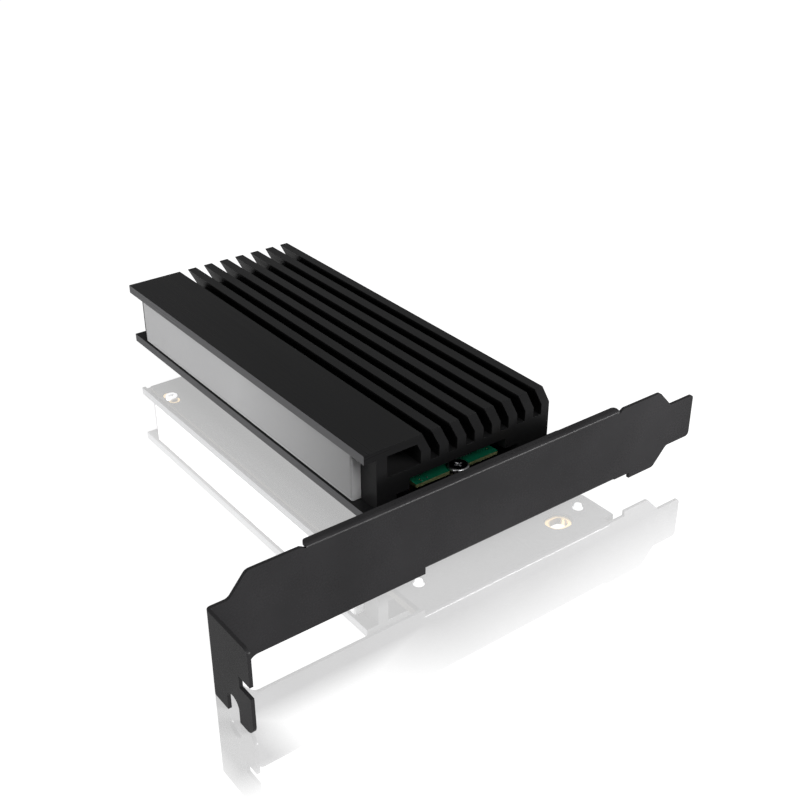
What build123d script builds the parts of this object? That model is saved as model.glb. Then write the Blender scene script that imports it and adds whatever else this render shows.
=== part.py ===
"""Expansion card that carries one 22 x 80 mm solid-state drive under a finned heatsink.

Frame: X runs along the bracket, from its bent tab (-X) to its tongue (+X). The edge fingers point
to +X. Y runs from the bracket's outer face into the card. Z points from the board's solder side to
its component side. The origin is on the bracket's outer face, half way up its strip, in line with
the drive's middle. Millimetres.
"""
import os

from build123d import *

# Bracket, bent from one sheet
sheet = 0.7
bend_inner = 0.3
strip_length = 120.02
strip_width = 18.42
drive_to_tip = 50.92
tab_depth = 13.0
tab_drop = 4.35
tab_corner = 1.4
tab_foot_corner = 2.2
neck_start = 4.3
neck_slope_run = 3.7
neck_corner = 1.4
neck_low_corner = 2.0
tongue_width = 10.19
tongue_length = 7.2
tongue_taper = 3.8
tongue_corner = 1.0
tongue_top_corner = 0.7
taper_corner = 1.2
screw_notch_width = 4.0
screw_notch_depth = 4.6
screw_notch_middle = 6.6
side_notch_width = 2.5
side_notch_depth = 3.6
side_notch_height = 9.6
lip_start = 19.9
lip_end_setback = 0.2
lip_depth = 2.0
lip_corner = 0.9
lip_relief_width = 1.2
lip_relief_depth = 0.7
flange_lift = 0.95
flange_setback = 0.5
flange_depth = 12.0
flange_overhang = 2.8
flange_relief_width = 4.5
flange_relief_depth = 1.3
flange_corner = 1.5
flange_window_length = 6.6
flange_window_width = 5.7

# Circuit board
board_thickness = 1.6
board_half_width = 23.5
board_bracket_gap = 0.96
board_length = 115.8
board_foot_length = 18.4
board_foot_reach = 7.3
ear_start = 33.0
ear_width = 6.2
ear_corner = 1.0
board_corner = 0.8

# Edge connector on the board
edge_start = 43.9
edge_reach = 12.8
edge_near_length = 11.65
edge_key_width = 1.9
edge_key_depth = 7.8
edge_far_length = 21.65
edge_bevel_length = 1.3
edge_bevel_depth = 0.4
edge_margin = 0.825
finger_pitch = 1.0
finger_width = 0.7
finger_length = 4.0
finger_setback = 1.4
near_finger_count = 11
far_finger_count = 21
plating = 0.04

# Plated slots and holes of the board
slot_from_edge = 1.85
slot_from_sink_end = 5.8
slot_from_board_end = 9.06
slot_width = 1.8
slot_length = 4.8
barrel_wall = 0.12
ring_border = 0.42
ring_thickness = 0.05
oval_from_edge = 11.4
oval_from_face = 7.15
oval_hole_length = 4.5
oval_hole_width = 3.5
oval_ring_border = 0.8

# Bracket screws, driven down through the board into the flange
left_screw_from_edge = 5.33
right_screw_from_edge = 4.37
bracket_screw_from_face = 8.3
bracket_shank_radius = 1.25
bracket_head_radius = 2.35
bracket_head_height = 1.5
bracket_head_round = 0.75
bracket_screw_tip = 0.8
bracket_recess_depth = 0.7
board_hole_clearance = 0.15
thread_clearance = 0.05

# Drive, pads and socket
drive_width = 22.0
drive_length = 80.0
drive_thickness = 0.8
drive_from_board_end = 19.06
drive_tongue_width = 19.85
drive_tongue_length = 4.0
drive_key_offset = 6.125
drive_key_width = 1.2
drive_key_depth = 3.5
drive_notch_radius = 1.75
drive_finger_pitch = 0.5
drive_finger_width = 0.35
drive_finger_length = 2.0
drive_finger_setback = 0.5
drive_finger_rows = 38
copper_thickness = 0.05
copper_near_gap = 2.4
copper_socket_gap = 3.8
lower_pad_thickness = 1.8
pad_width = 19.6
pad_near_gap = 3.6
lower_pad_socket_gap = 4.1
upper_pad_socket_gap = 1.6
chip_height = 1.25
near_chip_width = 19.0
near_chip_length = 14.5
near_chip_setback = 3.7
control_chip_width = 14.0
control_chip_length = 10.0
control_chip_setback = 31.5
flash_chip_width = 18.0
flash_chip_length = 14.1
flash_chip_setback = 44.2
flash_chip_spacing = 3.0
chip_edge_gap = 0.8
passive_length = 1.0
passive_width = 0.5
passive_height = 0.45
passive_pitch_x = 1.9
passive_pitch_y = 2.4
passive_columns = 9
passive_rows = 4
passive_setback = 20.2

socket_width = 22.4
socket_depth = 7.4
socket_height = 3.9
socket_shoulder_gap = 0.2
socket_mouth_play = 0.12
socket_mouth_bottom_play = 0.1
socket_peg_radius = 0.55
socket_peg_offset = 10.0
socket_rib_play = 0.12
socket_rib_root = 0.3
contact_pitch = 0.5
contact_width = 0.22
contact_thickness = 0.15
contact_foot = 1.1
contact_rise = 1.0
contact_rows = 37

standoff_radius = 2.2
standoff_peg_radius = 1.6
drive_screw_radius = 1.0
drive_screw_length = 3.0
drive_head_radius = 2.35
drive_head_height = 0.8
drive_head_chamfer = 0.2
recess_arm = 0.45
recess_span = 2.2
drive_recess_depth = 0.45

# Heatsink, one extrusion along Y
sink_from_face = 17.6
sink_overhang = 2.34
sink_side_overhang = 1.15
sink_height = 15.0
sink_ceiling = 5.6
leg_step_height = 3.05
left_leg_inner = 16.7
right_leg_inner = 15.9
left_ceiling_edge = 13.4
right_ceiling_edge = 12.2
groove_depth = 3.0
groove_floor = 1.3
groove_top_flange = 2.07
hook_drop = 0.7
hook_width = 0.9
hook_clearance = 0.1
duct_left = 19.0
duct_right = 10.55
duct_floor = 7.95
duct_height = 4.95
duct_chamfer = 2.0
fin_count = 7
fin_pitch = 4.69
fin_slot_width = 2.3
fin_slot_floor = 7.95
fin_kink_height = 10.5
fin_lean = 2.3
first_slot_left = -8.05

# Light bar in the groove and the lamps under it
bar_setback_near = 5.4
bar_setback_far = 5.8
bar_depth = 2.5
bar_top_clearance = 0.1
bar_edge_round = 0.5
lamp_count = 6
lamp_setback = 18.65
lamp_pitch = 10.2
lamp_size = 1.1
lamp_height = 0.55
lamp_from_edge = 1.15
lamp_window_width = 1.55
lamp_window_margin = 2.0

# Screws that hold the heatsink from beneath
sink_screw_radius = 0.8
sink_screw_grip = 1.1
sink_head_radius = 1.6
sink_head_height = 0.9
sink_head_round = 0.3
sink_recess_depth = 0.4

# Small parts beside the copper area
chip_resistor_count = 4
chip_resistor_pitch = 1.7
chip_resistor_socket_gap = 6.2
chip_resistor_offset = 12.0
chip_resistor_length = 1.6
chip_resistor_width = 0.8
chip_resistor_height = 0.5

# How far a cut runs past what it cuts, and how closely an edge is looked up
cut_past = 1.0
edge_tolerance = 0.01

# Heights worked out from the sizes above
strip_bottom = -strip_width / 2
strip_top = strip_width / 2
flange_bottom = strip_bottom + flange_lift
flange_top = flange_bottom + sheet
board_bottom = flange_top
board_top = board_bottom + board_thickness
bend_outer = bend_inner + sheet
drive_bottom = board_top + copper_thickness + lower_pad_thickness
drive_top = drive_bottom + drive_thickness
chip_top = drive_top + chip_height
sink_top = board_top + sink_height
sink_ceiling_z = board_top + sink_ceiling
fin_slope = fin_lean / (sink_height - fin_kink_height)

# Places along X and Y worked out from the sizes above
tab_x = drive_to_tip - strip_length
board_near = sheet + board_bracket_gap
board_far = board_near + board_length
foot_end = board_near + board_foot_length
foot_edge = board_half_width + board_foot_reach
flange_left = -board_half_width + flange_setback
flange_right = foot_edge - flange_overhang
edge_tip = board_half_width + edge_reach
edge_key_near = edge_start + edge_near_length
edge_key_far = edge_key_near + edge_key_width
edge_end = edge_key_far + edge_far_length
drive_far = board_far - drive_from_board_end
drive_near = drive_far - drive_length
drive_shoulder = drive_far - drive_tongue_length
socket_near = drive_shoulder + socket_shoulder_gap
socket_far = socket_near + socket_depth
pad_near = drive_near + pad_near_gap
sink_near = sink_from_face
sink_far = board_far + sink_overhang
sink_half_width = board_half_width + sink_side_overhang
groove_back = -sink_half_width + groove_depth
bar_near = sink_near + bar_setback_near
slot_offset = board_half_width - slot_from_edge
slot_rows = (sink_near + slot_from_sink_end, board_far - slot_from_board_end)
slot_places = [(side * slot_offset, y) for side in (-1, 1) for y in slot_rows]
oval_offset = foot_edge - oval_from_edge
bracket_screw_places = [(-board_half_width + left_screw_from_edge, bracket_screw_from_face),
                        (foot_edge - right_screw_from_edge, bracket_screw_from_face)]
lamp_x = -board_half_width + lamp_from_edge
lamp_rows = [bar_near + lamp_setback + n * lamp_pitch for n in range(lamp_count)]

nodes = {}


def block(x0, x1, y0, y1, z0, z1):
    """Box between two corners."""
    middle = ((x0 + x1) / 2, (y0 + y1) / 2, (z0 + z1) / 2)
    return Pos(*middle) * Box(x1 - x0, y1 - y0, z1 - z0)


def cylinder(x, y, z0, z1, radius):
    """Upright cylinder between two heights."""
    return Pos(x, y, (z0 + z1) / 2) * Cylinder(radius, z1 - z0)


def upright_slot(x, y, z0, z1, length, width, along_y=True):
    """Upright prism with round ends, along Y or along X."""
    turn = 90 if along_y else 0
    return extrude(Pos(x, y, z0) * Rot(0, 0, turn) * SlotOverall(length, width), z1 - z0)


def plan_prism(points, z0, z1):
    """Prism over an outline drawn in X and Y."""
    return extrude(Pos(0, 0, z0) * make_face(Polyline(*points, close=True)), z1 - z0)


def round_corners(face, corners, radius):
    """Round the listed corners of a flat outline."""
    def is_listed(vertex):
        return any(abs(vertex.X - a) < 1e-6 and abs(vertex.Y - b) < 1e-6 for a, b in corners)
    return fillet([v for v in face.vertices() if is_listed(v)], radius)


def edges_at(shape, along, across, place):
    """Edges that run along one axis at one place on another."""
    low, high = place - edge_tolerance, place + edge_tolerance
    return shape.edges().filter_by(along).filter_by_position(across, low, high)


def angle_section(first_leg, second_leg):
    """Section of a bent sheet. Its outer corner is at 0, 0 and its legs run along +x and +y."""
    points = [(0, 0), (first_leg, 0), (first_leg, sheet), (sheet, sheet), (sheet, second_leg), (0, second_leg)]
    face = make_face(Polyline(*points, close=True))
    face = round_corners(face, [(0, 0)], bend_outer)
    return round_corners(face, [(sheet, sheet)], bend_inner)


def cross_recess(x, y, z0, z1):
    """Cross-shaped tool for a screw's drive recess."""
    arm = block(x - recess_span / 2, x + recess_span / 2, y - recess_arm / 2, y + recess_arm / 2, z0, z1)
    other = block(x - recess_arm / 2, x + recess_arm / 2, y - recess_span / 2, y + recess_span / 2, z0, z1)
    return arm + other


def group(solids):
    """Several separate solids as one node."""
    return Compound(children=list(solids))


# Bracket

def bracket_plate():
    """Strip, neck and tongue, without its bends."""
    lip_end = flange_right - lip_end_setback - tab_x
    flange_start = flange_left - tab_x
    flange_end = flange_right - tab_x
    relief_end = flange_end + flange_relief_width
    relief_top = strip_bottom + flange_relief_depth
    taper_start = strip_length - tongue_length - tongue_taper
    tongue_start = strip_length - tongue_length
    neck_end = neck_start + neck_slope_run
    lip_root = strip_top - bend_outer
    flange_root = flange_bottom + bend_outer
    points = [
        (bend_outer, strip_bottom - tab_drop), (neck_start, strip_bottom - tab_drop), (neck_end, strip_bottom),
        (flange_start, strip_bottom), (flange_start, flange_root), (flange_end, flange_root),
        (flange_end, relief_top), (relief_end, relief_top), (relief_end, strip_bottom),
        (taper_start, strip_bottom), (tongue_start, -tongue_width / 2), (strip_length, -tongue_width / 2),
        (strip_length, tongue_width / 2), (tongue_start, tongue_width / 2), (taper_start, strip_top),
        (lip_end + lip_relief_width, strip_top), (lip_end, strip_top - lip_relief_depth), (lip_end, lip_root),
        (lip_start, lip_root), (lip_start, strip_top - lip_relief_depth), (lip_start - lip_relief_width, strip_top),
        (neck_end, strip_top), (neck_start, strip_top - tab_drop), (bend_outer, strip_top - tab_drop),
    ]
    face = make_face(Polyline(*points, close=True))
    face = round_corners(face, [(strip_length, tongue_width / 2)], tongue_top_corner)
    face = round_corners(face, [(strip_length, -tongue_width / 2), (tongue_start, -tongue_width / 2)], tongue_corner)
    face = round_corners(face, [(taper_start, strip_bottom), (taper_start, strip_top)], taper_corner)
    face = round_corners(face, [(neck_end, strip_top), (neck_start, strip_top - tab_drop)], neck_corner)
    face = round_corners(face, [(neck_end, strip_bottom)], neck_low_corner)
    upright = Plane(origin=(tab_x, 0, 0), x_dir=(1, 0, 0), z_dir=(0, -1, 0))
    return extrude(upright * face, -sheet)


def bracket_tab():
    """Tab bent towards the outside, with its screw notch and the side notch."""
    low = strip_bottom - tab_drop
    corner = Plane(origin=(tab_x, sheet, low), x_dir=(1, 0, 0), z_dir=(0, 0, -1))
    tab = extrude(corner * angle_section(neck_start, tab_depth + sheet), -strip_width)
    upper_edge = edges_at(tab, Axis.X, Axis.Y, -tab_depth).sort_by(Axis.Z)[-1:]
    tab = fillet(upper_edge, tab_corner)
    lower_edge = edges_at(tab, Axis.X, Axis.Y, -tab_depth).sort_by(Axis.Z)[:1]
    tab = fillet(lower_edge, tab_foot_corner)
    notch_top = low + screw_notch_depth - screw_notch_width / 2
    half = screw_notch_width / 2
    notch = block(tab_x - cut_past, tab_x + bend_outer, -screw_notch_middle - half, -screw_notch_middle + half,
                  low - cut_past, notch_top)
    crown = Pos(tab_x, -screw_notch_middle, notch_top) * Rot(0, 90, 0) * Cylinder(half, 2 * bend_outer)
    side_low = low + side_notch_height - side_notch_width / 2
    side_inner = -tab_depth + side_notch_depth
    side = block(tab_x - cut_past, tab_x + bend_outer, -tab_depth - cut_past, side_inner,
                 side_low, side_low + side_notch_width)
    return tab - notch - crown - side


def bracket_lip():
    """Stiffening lip bent back along the top edge."""
    start = tab_x + lip_start
    plane = Plane(origin=(start, 0, strip_top), x_dir=(0, 1, 0), z_dir=(-1, 0, 0))
    lip_length = flange_right - lip_end_setback - start
    lip = extrude(plane * angle_section(lip_depth, lip_depth + bend_outer), -lip_length)
    return fillet(edges_at(lip, Axis.Z, Axis.Y, lip_depth), lip_corner)


def bracket_flange():
    """Flange bent back under the board, tapped for the two screws."""
    plane = Plane(origin=(flange_left, 0, flange_bottom), x_dir=(0, 1, 0), z_dir=(1, 0, 0))
    flange = extrude(plane * angle_section(flange_depth, lip_depth + bend_outer), flange_right - flange_left)
    wing_near = bend_outer + sheet
    flange += block(flange_right - sheet, foot_edge, wing_near, flange_depth, flange_bottom, flange_top)
    flange = fillet(edges_at(flange, Axis.Z, Axis.Y, flange_depth), flange_corner)
    for x, y in bracket_screw_places:
        flange -= cylinder(x, y, flange_bottom - cut_past, board_top, bracket_shank_radius + thread_clearance)
    window = upright_slot(oval_offset, oval_from_face, flange_bottom - cut_past, board_top,
                          flange_window_length, flange_window_width, along_y=False)
    return flange - window


nodes["bracket"] = bracket_plate() + bracket_tab() + bracket_lip() + bracket_flange()


# Bracket screws

def bracket_screw(x, y):
    """Pan-head screw from the component side down through the flange."""
    tip = flange_bottom - bracket_screw_tip
    head_top = board_top + bracket_head_height
    head = cylinder(x, y, board_top, head_top, bracket_head_radius)
    head = fillet(head.edges().filter_by(GeomType.CIRCLE).sort_by(Axis.Z)[-1:], bracket_head_round)
    shank = cylinder(x, y, tip, board_top, bracket_shank_radius)
    recess = cross_recess(x, y, head_top - bracket_recess_depth, head_top + bracket_recess_depth)
    return head + shank - recess


nodes["bracket_screws"] = group(bracket_screw(x, y) for x, y in bracket_screw_places)


# Circuit board

def board_outline():
    """Outline with the foot by the bracket, the ear and the edge connector."""
    half = board_half_width
    ear_end = ear_start + ear_width
    points = [
        (-half, board_near), (foot_edge, board_near), (foot_edge, foot_end), (half, foot_end),
        (half, ear_start), (foot_edge, ear_start), (foot_edge, ear_end), (half, ear_end),
        (half, edge_start), (edge_tip, edge_start), (edge_tip, edge_key_near),
        (edge_tip - edge_key_depth, edge_key_near), (edge_tip - edge_key_depth, edge_key_far),
        (edge_tip, edge_key_far), (edge_tip, edge_end), (half, edge_end), (half, board_far), (-half, board_far),
    ]
    face = make_face(Polyline(*points, close=True))
    face = round_corners(face, [(foot_edge, ear_end), (foot_edge, foot_end)], ear_corner)
    return round_corners(face, [(-half, board_far), (half, board_far)], board_corner)


def board_bevel(side):
    """Wedge that bevels one face of the edge connector's tip."""
    face_z = board_top if side > 0 else board_bottom
    inner_x = edge_tip - edge_bevel_length
    outer_x = edge_tip + cut_past
    low = face_z - side * edge_bevel_depth
    points = [(inner_x, face_z), (edge_tip, low), (outer_x, low), (outer_x, face_z + side * cut_past),
              (inner_x, face_z + side * cut_past)]
    plane = Plane(origin=(0, edge_end + cut_past, 0), x_dir=(1, 0, 0), z_dir=(0, -1, 0))
    return extrude(plane * make_face(Polyline(*points, close=True)), edge_end - edge_start + 2 * cut_past)


def board():
    """Bare board with all its holes."""
    body = extrude(Pos(0, 0, board_bottom) * board_outline(), board_thickness)
    for side in (-1, 1):
        body -= board_bevel(side)
    outer_width = slot_width + 2 * barrel_wall
    outer_length = slot_length + 2 * barrel_wall
    for x, y in slot_places:
        body -= upright_slot(x, y, board_bottom, board_top, outer_length, outer_width)
        for z in (board_bottom, board_top - ring_thickness):
            body -= upright_slot(x, y, z, z + ring_thickness, outer_length + 2 * ring_border,
                                 outer_width + 2 * ring_border)
    for x, y in bracket_screw_places:
        body -= cylinder(x, y, board_bottom, board_top, bracket_shank_radius + board_hole_clearance)
    body -= upright_slot(oval_offset, oval_from_face, board_bottom, board_top,
                         oval_hole_length + 2 * barrel_wall, oval_hole_width + 2 * barrel_wall, along_y=False)
    body -= cylinder(0, drive_near, board_bottom, board_top, standoff_peg_radius)
    for side in (-1, 1):
        body -= cylinder(side * socket_peg_offset, (socket_near + socket_far) / 2, board_bottom, board_top,
                         socket_peg_radius)
    return body


nodes["circuit_board"] = board()


# Plating on the board

def slot_eyelet(x, y):
    """Plated lining of one slot, with a flat ring let into each face."""
    outer_width = slot_width + 2 * barrel_wall
    outer_length = slot_length + 2 * barrel_wall
    lining = upright_slot(x, y, board_bottom, board_top, outer_length, outer_width)
    for z in (board_bottom, board_top - ring_thickness):
        lining += upright_slot(x, y, z, z + ring_thickness, outer_length + 2 * ring_border,
                               outer_width + 2 * ring_border)
    return lining - upright_slot(x, y, board_bottom, board_top, slot_length, slot_width)


def oval_eyelet():
    """Plated lining of the oval hole by the bracket, with a ring on each face."""
    x, y = oval_offset, oval_from_face
    length = oval_hole_length + 2 * barrel_wall
    width = oval_hole_width + 2 * barrel_wall
    low = board_bottom - ring_thickness
    high = board_top + ring_thickness
    lining = upright_slot(x, y, low, high, length, width, along_y=False)
    for z in (low, board_top):
        lining += upright_slot(x, y, z, z + ring_thickness, oval_hole_length + 2 * oval_ring_border,
                               oval_hole_width + 2 * oval_ring_border, along_y=False)
    return lining - upright_slot(x, y, low, high, oval_hole_length, oval_hole_width, along_y=False)


def finger_rows():
    """Edge connector's fingers: the near row and the far row, on both faces."""
    rows = [(edge_start, near_finger_count), (edge_key_far, far_finger_count)]
    x1 = edge_tip - finger_setback
    x0 = x1 - finger_length
    fingers = []
    for start, count in rows:
        for n in range(count):
            middle = start + edge_margin + n * finger_pitch
            y0, y1 = middle - finger_width / 2, middle + finger_width / 2
            fingers.append(block(x0, x1, y0, y1, board_top, board_top + plating))
            fingers.append(block(x0, x1, y0, y1, board_bottom - plating, board_bottom))
    return fingers


nodes["slot_linings"] = group([slot_eyelet(x, y) for x, y in slot_places] + [oval_eyelet()])
nodes["edge_fingers"] = group(finger_rows())
nodes["copper_area"] = block(-drive_width / 2, drive_width / 2, drive_near + copper_near_gap,
                             socket_near - copper_socket_gap, board_top, board_top + copper_thickness)


# Parts soldered to the board

def lamp(y):
    """Small lamp at the board's edge, under the light bar."""
    half = lamp_size / 2
    return block(lamp_x - half, lamp_x + half, y - half, y + half, board_top, board_top + lamp_height)


def chip_resistor(n):
    """Small resistor beside the copper area."""
    y = socket_near - chip_resistor_socket_gap - n * chip_resistor_pitch
    half = chip_resistor_length / 2
    return block(-chip_resistor_offset - half, -chip_resistor_offset + half, y - chip_resistor_width, y,
                 board_top, board_top + chip_resistor_height)


nodes["lamps"] = group(lamp(y) for y in lamp_rows)
nodes["chip_resistors"] = group(chip_resistor(n) for n in range(chip_resistor_count))


# Drive socket

def socket_housing():
    """Moulded housing with the mouth, the key rib and two locating pegs."""
    half = socket_width / 2
    body = block(-half, half, socket_near, socket_far, board_top, board_top + socket_height)
    mouth_half = drive_tongue_width / 2 + socket_mouth_play
    mouth_low = drive_bottom - socket_mouth_bottom_play - plating
    mouth_high = drive_top + socket_mouth_play + plating
    mouth_end = drive_far + socket_mouth_play
    body -= block(-mouth_half, mouth_half, socket_near, mouth_end, mouth_low, mouth_high)
    rib_half = drive_key_width / 2 - socket_rib_play
    rib_near = drive_far - drive_key_depth + drive_key_width / 2 + socket_rib_play
    body += block(-drive_key_offset - rib_half, -drive_key_offset + rib_half, rib_near,
                  mouth_end + socket_rib_root, mouth_low - socket_rib_root, mouth_high + socket_rib_root)
    contact_well = contact_rows * contact_pitch / 2
    body -= block(-contact_well, contact_well, socket_near, socket_near + contact_rise, board_top, mouth_low)
    middle = (socket_near + socket_far) / 2
    for side in (-1, 1):
        body += cylinder(side * socket_peg_offset, middle, board_bottom, board_top, socket_peg_radius)
    return body


def socket_contact(n):
    """Solder tail that rises in steps from the board into the housing's well."""
    x = (n - (contact_rows - 1) / 2) * contact_pitch
    t = contact_thickness
    top = drive_bottom - plating - socket_mouth_bottom_play - t
    y0 = socket_near - contact_foot
    rise = socket_near + contact_rise - t
    points = [(y0, board_top), (rise, board_top), (rise, top), (rise + t, top), (rise + t, top + t),
              (rise - t - t, top + t), (rise - t - t, top), (rise - t, top), (rise - t, board_top + t),
              (y0, board_top + t)]
    plane = Plane(origin=(x - contact_width / 2, 0, 0), x_dir=(0, 1, 0), z_dir=(1, 0, 0))
    return extrude(plane * make_face(Polyline(*points, close=True)), contact_width)


nodes["drive_socket"] = socket_housing()
nodes["socket_contacts"] = group(socket_contact(n) for n in range(contact_rows))


# Standoff and screw at the drive's near end

def standoff():
    """Round threaded standoff, pressed into the board."""
    body = cylinder(0, drive_near, board_top, drive_bottom, standoff_radius)
    body += cylinder(0, drive_near, board_bottom, board_top, standoff_peg_radius)
    return body - cylinder(0, drive_near, board_bottom, drive_bottom, drive_screw_radius + thread_clearance)


def drive_screw():
    """Flat-headed screw that clamps the drive's end."""
    head_top = drive_top + drive_head_height
    head = cylinder(0, drive_near, drive_top, head_top, drive_head_radius)
    head = chamfer(head.edges().filter_by(GeomType.CIRCLE).sort_by(Axis.Z)[-1:], drive_head_chamfer)
    shank = cylinder(0, drive_near, drive_top - drive_screw_length, drive_top, drive_screw_radius)
    recess = cross_recess(0, drive_near, head_top - drive_recess_depth, head_top + drive_recess_depth)
    return head + shank - recess


nodes["drive_standoff"] = standoff()
nodes["drive_screw"] = drive_screw()


# Drive

def drive_board():
    """Drive's own board, with the keyed tongue and the half-round notch."""
    half = drive_width / 2
    tongue = drive_tongue_width / 2
    points = [(-half, drive_near), (half, drive_near), (half, drive_shoulder), (tongue, drive_shoulder),
              (tongue, drive_far), (-tongue, drive_far), (-tongue, drive_shoulder), (-half, drive_shoulder)]
    body = plan_prism(points, drive_bottom, drive_top)
    body -= cylinder(0, drive_near, drive_bottom, drive_top, drive_notch_radius)
    key_end = drive_far - drive_key_depth + drive_key_width / 2
    key_half = drive_key_width / 2
    body -= block(-drive_key_offset - key_half, -drive_key_offset + key_half, key_end, drive_far + cut_past,
                  drive_bottom, drive_top)
    return body - cylinder(-drive_key_offset, key_end, drive_bottom, drive_top, key_half)


def drive_fingers():
    """Gold fingers on both faces of the tongue, with the key's place left free."""
    fingers = []
    y1 = drive_far - drive_finger_setback
    y0 = y1 - drive_finger_length
    keep_off = drive_key_width / 2 + drive_finger_width / 2
    for n in range(drive_finger_rows):
        x = (n - (drive_finger_rows - 1) / 2) * drive_finger_pitch
        if abs(x + drive_key_offset) < keep_off:
            continue
        x0, x1 = x - drive_finger_width / 2, x + drive_finger_width / 2
        fingers.append(block(x0, x1, y0, y1, drive_top, drive_top + plating))
        fingers.append(block(x0, x1, y0, y1, drive_bottom - plating, drive_bottom))
    return fingers


def chip(setback, width, length):
    """One package on the drive, placed from the drive's left and near edges."""
    x0 = -drive_width / 2 + chip_edge_gap
    y0 = drive_near + setback
    return block(x0, x0 + width, y0, y0 + length, drive_top, chip_top)


def drive_passives():
    """Rows of small parts between the packages."""
    parts = []
    for row in range(passive_rows):
        for column in range(passive_columns):
            x = (column - (passive_columns - 1) / 2) * passive_pitch_x
            y = drive_near + passive_setback + row * passive_pitch_y
            parts.append(block(x - passive_length / 2, x + passive_length / 2, y, y + passive_width,
                               drive_top, drive_top + passive_height))
    return parts


nodes["drive_board"] = drive_board()
nodes["drive_fingers"] = group(drive_fingers())
nodes["near_chip"] = chip(near_chip_setback, near_chip_width, near_chip_length)
nodes["control_chip"] = chip(control_chip_setback, control_chip_width, control_chip_length)
nodes["flash_chips"] = group(
    chip(flash_chip_setback + n * (flash_chip_length + flash_chip_spacing), flash_chip_width, flash_chip_length)
    for n in (0, 1))
nodes["drive_passives"] = group(drive_passives())


# Thermal pads

nodes["lower_thermal_pad"] = block(-pad_width / 2, pad_width / 2, pad_near, socket_near - lower_pad_socket_gap,
                                   board_top + copper_thickness, drive_bottom)
nodes["upper_thermal_pad"] = block(-pad_width / 2, pad_width / 2, pad_near, socket_near - upper_pad_socket_gap,
                                   chip_top, sink_ceiling_z)


# Heatsink

def sink_outline():
    """Outer outline, with the light bar's groove, the hook over the board's edge and the leaning side."""
    half = sink_half_width
    hook_inner = -board_half_width - hook_clearance
    groove_low = board_top + groove_floor
    groove_high = sink_top - groove_top_flange
    step = board_top + leg_step_height
    hook_outer = hook_inner - hook_width
    return [
        (hook_outer, board_top - hook_drop), (hook_inner, board_top - hook_drop), (hook_inner, board_top),
        (-left_leg_inner, board_top), (-left_leg_inner, step), (-left_ceiling_edge, step),
        (-left_ceiling_edge, sink_ceiling_z), (right_ceiling_edge, sink_ceiling_z), (right_ceiling_edge, step),
        (right_leg_inner, step), (right_leg_inner, board_top), (half, board_top),
        (half, board_top + fin_kink_height), (half - fin_lean, sink_top), (-half, sink_top),
        (-half, groove_high), (groove_back, groove_high), (groove_back, groove_low), (hook_outer, groove_low),
    ]


def fin_slot(n):
    """Gap between two fins: upright below, leaning above."""
    x0 = first_slot_left + n * fin_pitch
    x1 = x0 + fin_slot_width
    kink = board_top + fin_kink_height
    floor = board_top + fin_slot_floor
    high = sink_top + cut_past
    slide = fin_slope * (high - kink)
    return [(x0, floor), (x1, floor), (x1, kink), (x1 - slide, high), (x0 - slide, high), (x0, kink)]


def duct_outline():
    """Air duct that runs through the solid side, with one corner cut along the first fin gap."""
    low = board_top + duct_floor
    high = low + duct_height
    cut = duct_chamfer * fin_slope
    return [(-duct_left, low), (-duct_right, low), (-duct_right, high - duct_chamfer), (-duct_right - cut, high),
            (-duct_left, high)]


def section(points):
    """Closed outline drawn in X and Z, as a flat face."""
    plane = Plane(origin=(0, sink_near, 0), x_dir=(1, 0, 0), z_dir=(0, -1, 0))
    return plane * make_face(Polyline(*points, close=True))


def heatsink():
    """Extruded body, cut for the lamps and tapped for its four screws."""
    profile = section(sink_outline()) - section(duct_outline())
    for n in range(fin_count):
        profile -= section(fin_slot(n))
    body = extrude(profile, sink_near - sink_far)
    window_half = lamp_window_width / 2
    body -= block(lamp_x - window_half, lamp_x + window_half, lamp_rows[0] - lamp_window_margin,
                  lamp_rows[-1] + lamp_window_margin, board_top - cut_past, board_top + groove_floor)
    for x, y in slot_places:
        body -= cylinder(x, y, board_top, board_top + sink_screw_grip + thread_clearance,
                         sink_screw_radius + thread_clearance)
    return body


def light_bar():
    """Frosted bar, seated on the groove's floor and against its back."""
    low = board_top + groove_floor
    high = sink_top - groove_top_flange - bar_top_clearance
    front = groove_back - bar_depth
    bar = block(front, groove_back, bar_near, sink_far - bar_setback_far, low, high)
    rim = bar.edges().filter_by_position(Axis.X, front - edge_tolerance, front + edge_tolerance)
    return fillet(rim, bar_edge_round)


def sink_screw(x, y):
    """Small screw from beneath, through a slot into the heatsink's leg."""
    low = board_bottom - sink_head_height
    head = cylinder(x, y, low, board_bottom, sink_head_radius)
    head = fillet(head.edges().filter_by(GeomType.CIRCLE).sort_by(Axis.Z)[:1], sink_head_round)
    shank = cylinder(x, y, board_bottom, board_top + sink_screw_grip, sink_screw_radius)
    return head + shank - cross_recess(x, y, low - sink_recess_depth, low + sink_recess_depth)


nodes["heatsink"] = heatsink()
nodes["light_bar"] = light_bar()
nodes["heatsink_screws"] = group(sink_screw(x, y) for x, y in slot_places)

os.makedirs("parts", exist_ok=True)
for name, shape in nodes.items():
    export_step(shape, f"parts/{name}.step")
    box = shape.bounding_box()
    print(f"{name}: {len(shape.solids())} solids, {box.size.X:.2f} x {box.size.Y:.2f} x {box.size.Z:.2f}")
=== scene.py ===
"""Looks for the solid-state drive adapter card, built round its fixed frame.

Lengths are in metres. X runs along the bracket from its tab to its tongue, Y from the bracket's
outer face into the card, and Z from the solder side to the component side.
"""

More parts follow.
